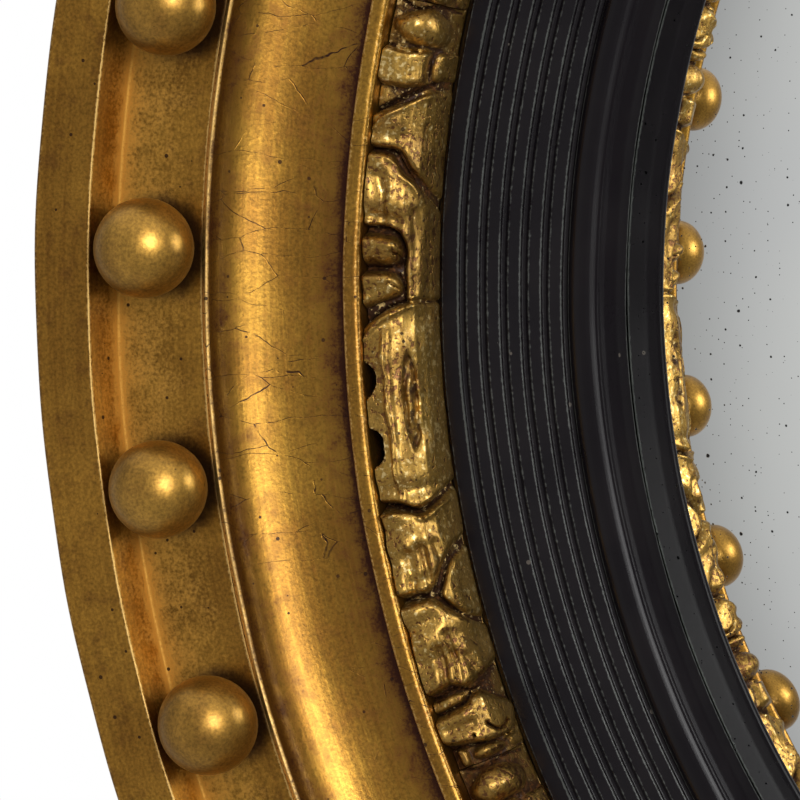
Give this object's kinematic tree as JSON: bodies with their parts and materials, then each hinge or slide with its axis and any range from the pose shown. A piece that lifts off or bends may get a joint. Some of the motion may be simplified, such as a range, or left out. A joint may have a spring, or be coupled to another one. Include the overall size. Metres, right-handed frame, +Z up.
{
  "type": "convex butlers mirror",
  "caption": "Round convex wall mirror in a deep gilt frame with a ring of gilt balls, a wide hollow, a carved leaf band and an ebonised reeded slip, hung on swinging rings behind",
  "frame": {"origin": "centre of the flat back, on the plane that lies against the wall", "axes": "+Y out of the back into the wall, so the glass faces -Y; +Z up as it hangs; +X to the right of a person who looks at the glass"},
  "size_m": [0.899, 0.1108, 0.9],
  "materials": {
    "gilt_frame": "gessoed and water gilt, burnished over dark bole, worn and aged, fine craquelure",
    "gilt_ball": "gessoed and burnished gold leaf, rubbed at the crown",
    "gilt_leaf": "carved, gessoed and gilt, paler and more matt, dark in the recesses",
    "ebonised_wood": "ebonised, satin, worn at the arrises",
    "mirror_glass": "silvered behind, slightly grey, with fine foxing specks",
    "raw_pine": "unfinished softwood",
    "back_board": "dark stained softwood, matt",
    "steel_hardware": "plain zinc-plated steel"
  },
  "bodies": {
    "frame": {"outer_ring": "gilt_frame", "gilt_ball_01": "gilt_ball", "gilt_ball_02": "gilt_ball", "gilt_ball_03": "gilt_ball", "gilt_ball_04": "gilt_ball", "gilt_ball_05": "gilt_ball", "gilt_ball_06": "gilt_ball", "gilt_ball_07": "gilt_ball", "gilt_ball_08": "gilt_ball", "gilt_ball_09": "gilt_ball", "gilt_ball_10": "gilt_ball", "gilt_ball_11": "gilt_ball", "gilt_ball_12": "gilt_ball", "gilt_ball_13": "gilt_ball", "gilt_ball_14": "gilt_ball", "gilt_ball_15": "gilt_ball", "gilt_ball_16": "gilt_ball", "gilt_ball_17": "gilt_ball", "gilt_ball_18": "gilt_ball", "gilt_ball_19": "gilt_ball", "gilt_ball_20": "gilt_ball", "gilt_ball_21": "gilt_ball", "gilt_ball_22": "gilt_ball", "gilt_ball_23": "gilt_ball", "gilt_ball_24": "gilt_ball", "gilt_ball_25": "gilt_ball", "gilt_ball_26": "gilt_ball", "gilt_ball_27": "gilt_ball", "gilt_ball_28": "gilt_ball", "gilt_ball_29": "gilt_ball", "gilt_ball_30": "gilt_ball", "gilt_ball_31": "gilt_ball", "gilt_ball_32": "gilt_ball", "gilt_ball_33": "gilt_ball", "gilt_ball_34": "gilt_ball", "gilt_ball_35": "gilt_ball", "gilt_ball_36": "gilt_ball", "gilt_ball_37": "gilt_ball", "gilt_ball_38": "gilt_ball", "hollow_moulding_ring": "gilt_frame", "carved_leaf_band": "gilt_leaf", "reeded_slip": "ebonised_wood", "convex_glass": "mirror_glass", "glass_packing_ring": "raw_pine", "backboard": "back_board", "backboard_screw_1": "steel_hardware", "backboard_screw_2": "steel_hardware", "backboard_screw_3": "steel_hardware", "backboard_screw_4": "steel_hardware", "backboard_screw_5": "steel_hardware", "backboard_screw_6": "steel_hardware", "hanger_strap_left": "steel_hardware", "hanger_screw_left_1": "steel_hardware", "hanger_screw_left_2": "steel_hardware", "hanger_strap_right": "steel_hardware", "hanger_screw_right_1": "steel_hardware", "hanger_screw_right_2": "steel_hardware"},
    "ring_left": {"hanger_ring_left": "steel_hardware"},
    "ring_right": {"hanger_ring_right": "steel_hardware"}
  },
  "joints": [
    {"name": "ring_left_swing", "type": "hinge", "parent": "frame", "child": "ring_left", "pos_m": [-0.35351, 0.0035, 0.15], "axis": [0, 0, 1], "range_deg": [0, 180]},
    {"name": "ring_right_swing", "type": "hinge", "parent": "frame", "child": "ring_right", "pos_m": [0.35351, 0.0035, 0.15], "axis": [0, 0, -1], "range_deg": [0, 180]}
  ]
}
